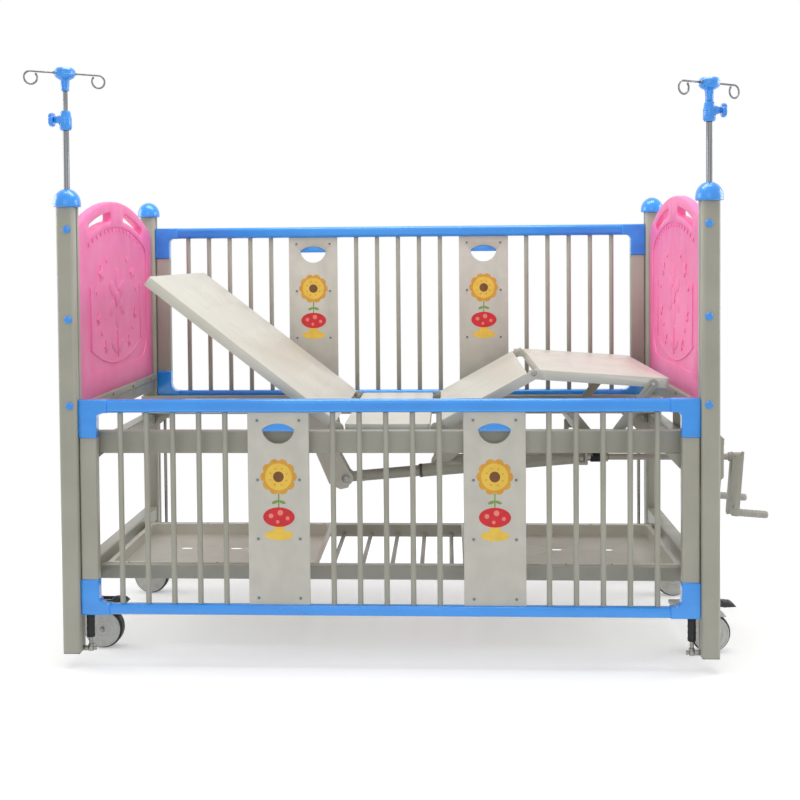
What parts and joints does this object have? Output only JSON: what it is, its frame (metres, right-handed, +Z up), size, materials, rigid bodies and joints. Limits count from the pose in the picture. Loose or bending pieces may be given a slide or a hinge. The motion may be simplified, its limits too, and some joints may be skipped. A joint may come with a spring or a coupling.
{
  "type": "pediatric hospital cot",
  "caption": "Hospital cot for children: steel frame on braking castors, drop side rails, cranked sectional deck, moulded end boards, storage tray and infusion poles.",
  "frame": {"origin": "centre of the bounding box on the floor", "axes": "+X from the head end to the foot end with the cranks, +Y from the lowered side rail to the raised one, +Z up"},
  "size_m": [1.909, 0.8699, 1.516],
  "materials": {
    "frame_paint": "semi-gloss warm light grey powder coat",
    "deck_paint": "semi-gloss cream powder coat",
    "blue_plastic": "glossy moulded blue",
    "pink_plastic": "satin blow-moulded pink",
    "panel_laminate": "satin off-white sheet",
    "stainless": "polished stainless",
    "plated_steel": "zinc plated",
    "black_rubber": "matte",
    "tyre": "matte black tyre on a nylon core",
    "grey_nylon": "matte grey nylon",
    "dark_plastic": "matte black"
  },
  "bodies": {
    "frame": {"corner_posts": "frame_paint", "post_caps": "blue_plastic", "side_frame": "frame_paint", "end_members": "frame_paint", "cross_tubes": "frame_paint", "head_board": "pink_plastic", "foot_board": "pink_plastic", "board_rails": "frame_paint", "lower_frame": "frame_paint", "tray_pans": "deck_paint", "tray_rods": "frame_paint", "guide_rods": "plated_steel", "guide_brackets": "plated_steel", "rail_buffers": "black_rubber", "seat_section": "deck_paint", "deck_hinges": "frame_paint", "crank_housing": "frame_paint", "castor_stems": "plated_steel", "pole_outer_tubes": "stainless", "pole_collars": "blue_plastic"},
    "near_rail": {"near_rail_tubes": "blue_plastic", "near_rail_corner_fittings": "blue_plastic", "near_rail_bars": "frame_paint", "near_rail_panels": "panel_laminate"},
    "far_rail": {"far_rail_tubes": "blue_plastic", "far_rail_corner_fittings": "blue_plastic", "far_rail_bars": "frame_paint", "far_rail_panels": "panel_laminate"},
    "castor_head_near": {"castor_head_near_housing": "grey_nylon"},
    "castor_head_near_wheel_body": {"castor_head_near_wheel": "tyre"},
    "castor_head_near_pedal_body": {"castor_head_near_pedal": "dark_plastic"},
    "castor_head_far": {"castor_head_far_housing": "grey_nylon"},
    "castor_head_far_wheel_body": {"castor_head_far_wheel": "tyre"},
    "castor_head_far_pedal_body": {"castor_head_far_pedal": "dark_plastic"},
    "castor_foot_near": {"castor_foot_near_housing": "grey_nylon"},
    "castor_foot_near_wheel_body": {"castor_foot_near_wheel": "tyre"},
    "castor_foot_near_pedal_body": {"castor_foot_near_pedal": "dark_plastic"},
    "castor_foot_far": {"castor_foot_far_housing": "grey_nylon"},
    "castor_foot_far_wheel_body": {"castor_foot_far_wheel": "tyre"},
    "castor_foot_far_pedal_body": {"castor_foot_far_pedal": "dark_plastic"},
    "backrest": {"backrest_section": "deck_paint"},
    "thigh": {"thigh_section": "deck_paint"},
    "calf": {"calf_section": "deck_paint"},
    "struts": {"calf_struts": "plated_steel"},
    "backrest_tube": {"backrest_push_tube": "frame_paint"},
    "backrest_sleeve_body": {"backrest_sleeve": "frame_paint"},
    "backrest_screw_body": {"backrest_screw": "plated_steel"},
    "backrest_crank_body": {"backrest_crank": "frame_paint"},
    "backrest_grip_body": {"backrest_crank_grip": "grey_nylon"},
    "knee_tube": {"knee_push_tube": "frame_paint"},
    "knee_sleeve_body": {"knee_sleeve": "frame_paint"},
    "knee_screw_body": {"knee_screw": "plated_steel"},
    "knee_crank_body": {"knee_crank": "frame_paint"},
    "knee_grip_body": {"knee_crank_grip": "grey_nylon"},
    "head_pole": {"head_pole_rod": "stainless", "head_pole_head": "blue_plastic"},
    "head_knob": {"head_pole_knob": "blue_plastic"},
    "foot_pole": {"foot_pole_rod": "stainless", "foot_pole_head": "blue_plastic"},
    "foot_knob": {"foot_pole_knob": "blue_plastic"}
  },
  "joints": [
    {"name": "near_rail_slide", "type": "slide", "parent": "frame", "child": "near_rail", "axis": [0, 0, 1], "range_m": [0, 0.45]},
    {"name": "far_rail_slide", "type": "slide", "parent": "frame", "child": "far_rail", "axis": [0, 0, 1], "range_m": [-0.45, 0]},
    {"name": "castor_head_near_swivel", "type": "hinge", "parent": "frame", "child": "castor_head_near", "pos_m": [-0.86719, -0.2345, 0.15], "axis": [0, 0, 1], "continuous": true},
    {"name": "castor_head_near_roll", "type": "hinge", "parent": "castor_head_near", "child": "castor_head_near_wheel_body", "pos_m": [-0.83419, -0.2345, 0.052], "axis": [0, 1, 0], "continuous": true},
    {"name": "castor_head_near_brake", "type": "hinge", "parent": "castor_head_near", "child": "castor_head_near_pedal_body", "pos_m": [-0.84719, -0.2345, 0.126], "axis": [0, 1, 0], "range_deg": [0, 10]},
    {"name": "castor_head_far_swivel", "type": "hinge", "parent": "frame", "child": "castor_head_far", "pos_m": [-0.86719, 0.2555, 0.15], "axis": [0, 0, 1], "continuous": true},
    {"name": "castor_head_far_roll", "type": "hinge", "parent": "castor_head_far", "child": "castor_head_far_wheel_body", "pos_m": [-0.83419, 0.2555, 0.052], "axis": [0, 1, 0], "continuous": true},
    {"name": "castor_head_far_brake", "type": "hinge", "parent": "castor_head_far", "child": "castor_head_far_pedal_body", "pos_m": [-0.84719, 0.2555, 0.126], "axis": [0, 1, 0], "range_deg": [0, 10]},
    {"name": "castor_foot_near_swivel", "type": "hinge", "parent": "frame", "child": "castor_foot_near", "pos_m": [0.73281, -0.2345, 0.15], "axis": [0, 0, 1], "continuous": true},
    {"name": "castor_foot_near_roll", "type": "hinge", "parent": "castor_foot_near", "child": "castor_foot_near_wheel_body", "pos_m": [0.76581, -0.2345, 0.052], "axis": [0, 1, 0], "continuous": true},
    {"name": "castor_foot_near_brake", "type": "hinge", "parent": "castor_foot_near", "child": "castor_foot_near_pedal_body", "pos_m": [0.75281, -0.2345, 0.126], "axis": [0, 1, 0], "range_deg": [0, 10]},
    {"name": "castor_foot_far_swivel", "type": "hinge", "parent": "frame", "child": "castor_foot_far", "pos_m": [0.73281, 0.2555, 0.15], "axis": [0, 0, 1], "continuous": true},
    {"name": "castor_foot_far_roll", "type": "hinge", "parent": "castor_foot_far", "child": "castor_foot_far_wheel_body", "pos_m": [0.76581, 0.2555, 0.052], "axis": [0, 1, 0], "continuous": true},
    {"name": "castor_foot_far_brake", "type": "hinge", "parent": "castor_foot_far", "child": "castor_foot_far_pedal_body", "pos_m": [0.75281, 0.2555, 0.126], "axis": [0, 1, 0], "range_deg": [0, 10]},
    {"name": "backrest_hinge", "type": "hinge", "parent": "frame", "child": "backrest", "pos_m": [-0.19219, 0.0105, 0.6], "axis": [0, 1, 0], "range_deg": [-38, 35]},
    {"name": "thigh_hinge", "type": "hinge", "parent": "frame", "child": "thigh", "pos_m": [0.05781, 0.0105, 0.6], "axis": [0, -1, 0], "range_deg": [-29, 8]},
    {"name": "knee_hinge", "type": "hinge", "parent": "thigh", "child": "calf", "pos_m": [0.30708, 0.0105, 0.73817], "axis": [0, -1, 0], "range_deg": [-10, 34]},
    {"name": "calf_strut_hinge", "type": "hinge", "parent": "calf", "child": "struts", "pos_m": [0.60586, 0.0105, 0.71026], "axis": [0, -1, 0], "range_deg": [-73, 21]},
    {"name": "backrest_tube_pivot", "type": "hinge", "parent": "backrest", "child": "backrest_tube", "pos_m": [-0.19219, -0.0995, 0.43], "axis": [0, 1, 0], "range_deg": [-36, 39]},
    {"name": "backrest_sleeve_slide", "type": "slide", "parent": "backrest_tube", "child": "backrest_sleeve_body", "axis": [0.9962, 0, 0.0872], "range_m": [-0.108, 0.0995]},
    {"name": "backrest_screw_turn", "type": "hinge", "parent": "backrest_sleeve_body", "child": "backrest_screw_body", "pos_m": [0.44781, -0.0995, 0.486], "axis": [0.9962, 0, 0.0872], "range_deg": [-1150, 1060]},
    {"name": "backrest_crank_turn", "type": "hinge", "parent": "frame", "child": "backrest_crank_body", "pos_m": [0.73281, -0.0995, 0.486], "axis": [1, 0, 0], "range_deg": [-1150, 1060]},
    {"name": "backrest_grip_fold", "type": "hinge", "parent": "backrest_crank_body", "child": "backrest_grip_body", "pos_m": [0.86125, -0.0995, 0.35116], "axis": [0, -1, 0], "range_deg": [0, 90]},
    {"name": "knee_tube_pivot", "type": "hinge", "parent": "thigh", "child": "knee_tube", "pos_m": [0.05781, 0.1205, 0.43], "axis": [0, -1, 0], "range_deg": [-9, 30]},
    {"name": "knee_sleeve_slide", "type": "slide", "parent": "knee_tube", "child": "knee_sleeve_body", "axis": [0.9898, 0, 0.1421], "range_m": [-0.0243, 0.0853]},
    {"name": "knee_screw_turn", "type": "hinge", "parent": "knee_sleeve_body", "child": "knee_screw_body", "pos_m": [0.44781, 0.1205, 0.486], "axis": [0.9898, 0, 0.1421], "range_deg": [-880, 250]},
    {"name": "knee_crank_turn", "type": "hinge", "parent": "frame", "child": "knee_crank_body", "pos_m": [0.73281, 0.1205, 0.486], "axis": [1, 0, 0], "range_deg": [-880, 250]},
    {"name": "knee_grip_fold", "type": "hinge", "parent": "knee_crank_body", "child": "knee_grip_body", "pos_m": [0.86125, 0.1205, 0.35116], "axis": [0, -1, 0], "range_deg": [0, 90]},
    {"name": "head_pole_slide", "type": "slide", "parent": "frame", "child": "head_pole", "axis": [0, 0, 1], "range_m": [-0.047, 0.3]},
    {"name": "head_knob_turn", "type": "hinge", "parent": "frame", "child": "head_knob", "pos_m": [-0.89719, -0.3795, 1.388], "axis": [-1, 0, 0], "range_deg": [0, 360]},
    {"name": "foot_pole_slide", "type": "slide", "parent": "frame", "child": "foot_pole", "axis": [0, 0, 1], "range_m": [0, 0.35]},
    {"name": "foot_knob_turn", "type": "hinge", "parent": "frame", "child": "foot_knob", "pos_m": [0.76281, -0.3795, 1.388], "axis": [1, 0, 0], "range_deg": [0, 360]}
  ],
  "couplings": [
    {"joint": "knee_hinge", "follows": "thigh_hinge", "ratio": -1.1379},
    {"joint": "calf_strut_hinge", "follows": "thigh_hinge", "ratio": 2.4879},
    {"joint": "backrest_tube_pivot", "follows": "backrest_hinge", "ratio": -1},
    {"joint": "backrest_sleeve_slide", "follows": "backrest_hinge", "m_per_rad": 0.16126},
    {"joint": "backrest_screw_turn", "follows": "backrest_hinge", "ratio": 30},
    {"joint": "backrest_crank_turn", "follows": "backrest_hinge", "ratio": 30},
    {"joint": "knee_tube_pivot", "follows": "thigh_hinge", "ratio": -1},
    {"joint": "knee_sleeve_slide", "follows": "thigh_hinge", "m_per_rad": -0.16659},
    {"joint": "knee_screw_turn", "follows": "thigh_hinge", "ratio": 30},
    {"joint": "knee_crank_turn", "follows": "thigh_hinge", "ratio": 30}
  ]
}
